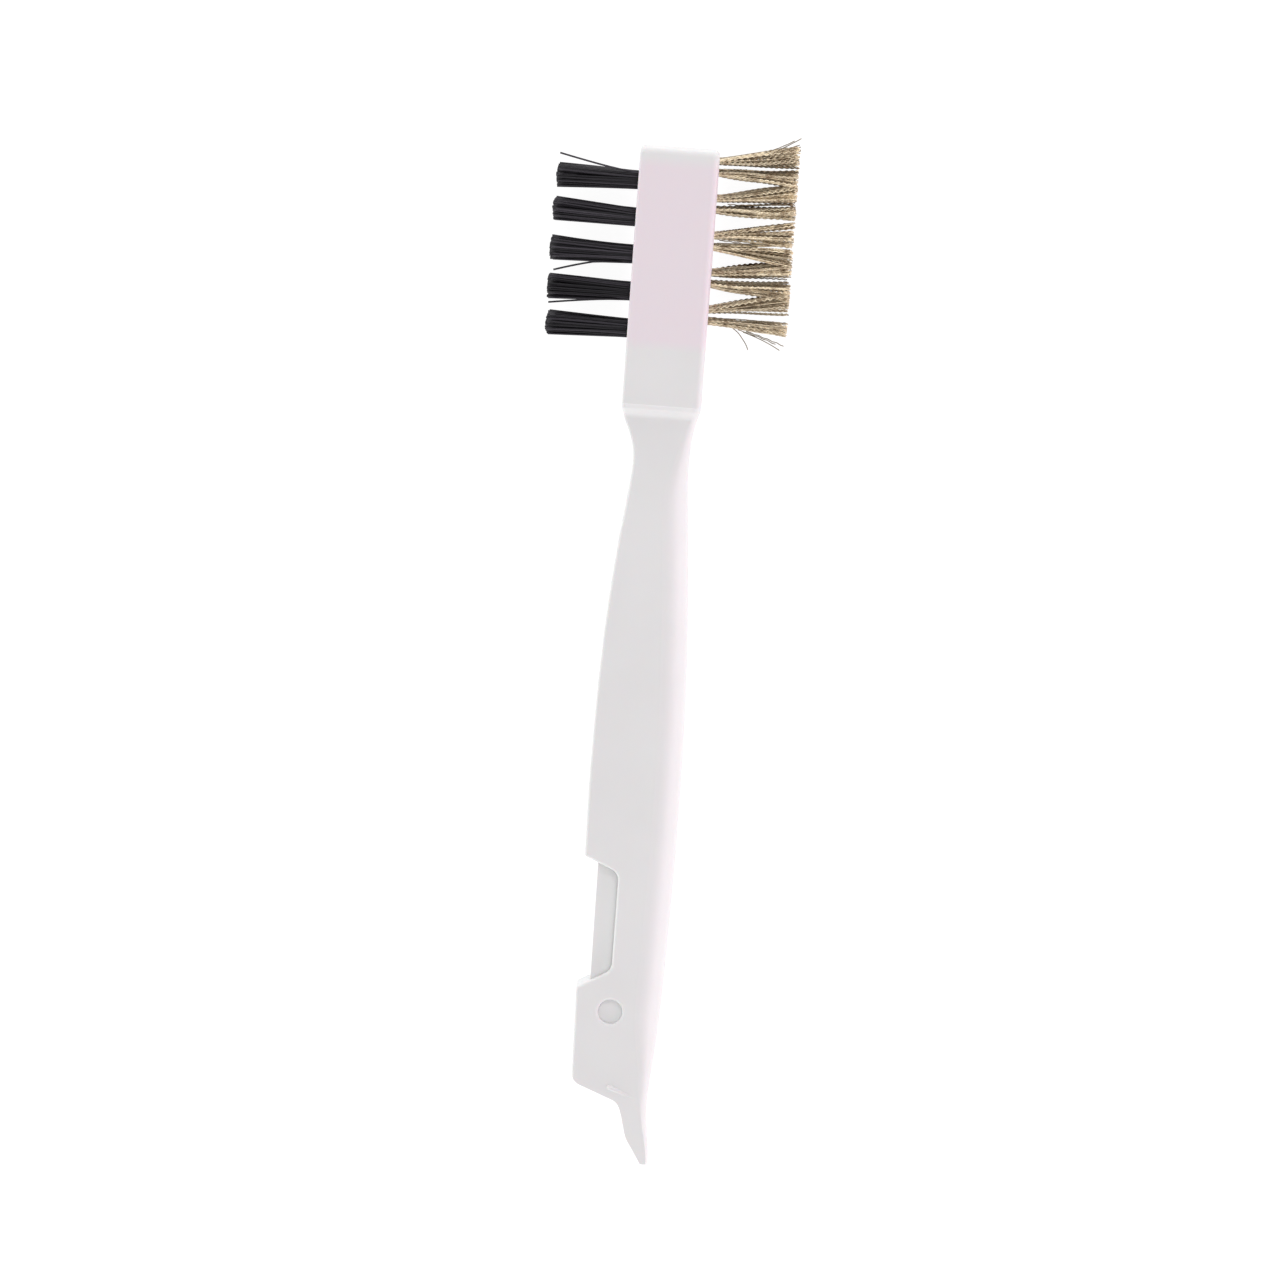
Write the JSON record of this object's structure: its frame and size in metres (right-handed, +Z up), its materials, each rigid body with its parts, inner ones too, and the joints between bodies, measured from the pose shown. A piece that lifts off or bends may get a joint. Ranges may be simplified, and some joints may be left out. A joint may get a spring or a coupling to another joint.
{
  "type": "golf club groove brush",
  "caption": "Hand brush with black nylon tufts on one side and crimped brass tufts on the other, a hollow white grip with a thumb notch and a round socket, and a tapered groove pick.",
  "frame": {"origin": "centre of the overall box at its underside, with the brush lying flat on its back", "axes": "+Y along the brush from the pick to the head, +X towards the brass side, +Z up out of the near face"},
  "size_m": [0.044, 0.1864, 0.012],
  "materials": {
    "handle_plastic": "satin injection-moulded white plastic",
    "cover_plastic": "satin injection-moulded white plastic",
    "nylon_bristle": "black nylon filament",
    "brass_bristle": "crimped drawn brass wire",
    "anchor_metal": "plated flat wire"
  },
  "bodies": {
    "root": {"brush_body": "handle_plastic", "back_cover": "cover_plastic", "nylon_tuft_upper_1": "nylon_bristle", "nylon_anchor_upper_1": "anchor_metal", "nylon_tuft_upper_2": "nylon_bristle", "nylon_anchor_upper_2": "anchor_metal", "nylon_tuft_upper_3": "nylon_bristle", "nylon_anchor_upper_3": "anchor_metal", "nylon_tuft_upper_4": "nylon_bristle", "nylon_anchor_upper_4": "anchor_metal", "nylon_tuft_upper_5": "nylon_bristle", "nylon_anchor_upper_5": "anchor_metal", "nylon_tuft_lower_1": "nylon_bristle", "nylon_anchor_lower_1": "anchor_metal", "nylon_tuft_lower_2": "nylon_bristle", "nylon_anchor_lower_2": "anchor_metal", "nylon_tuft_lower_3": "nylon_bristle", "nylon_anchor_lower_3": "anchor_metal", "nylon_tuft_lower_4": "nylon_bristle", "nylon_anchor_lower_4": "anchor_metal", "nylon_tuft_lower_5": "nylon_bristle", "nylon_anchor_lower_5": "anchor_metal", "brass_tuft_upper_1": "brass_bristle", "brass_anchor_upper_1": "anchor_metal", "brass_tuft_upper_2": "brass_bristle", "brass_anchor_upper_2": "anchor_metal", "brass_tuft_upper_3": "brass_bristle", "brass_anchor_upper_3": "anchor_metal", "brass_tuft_upper_4": "brass_bristle", "brass_anchor_upper_4": "anchor_metal", "brass_tuft_upper_5": "brass_bristle", "brass_anchor_upper_5": "anchor_metal", "brass_tuft_lower_1": "brass_bristle", "brass_anchor_lower_1": "anchor_metal", "brass_tuft_lower_2": "brass_bristle", "brass_anchor_lower_2": "anchor_metal", "brass_tuft_lower_3": "brass_bristle", "brass_anchor_lower_3": "anchor_metal", "brass_tuft_lower_4": "brass_bristle", "brass_anchor_lower_4": "anchor_metal", "brass_tuft_lower_5": "brass_bristle", "brass_anchor_lower_5": "anchor_metal"}
  },
  "joints": []
}
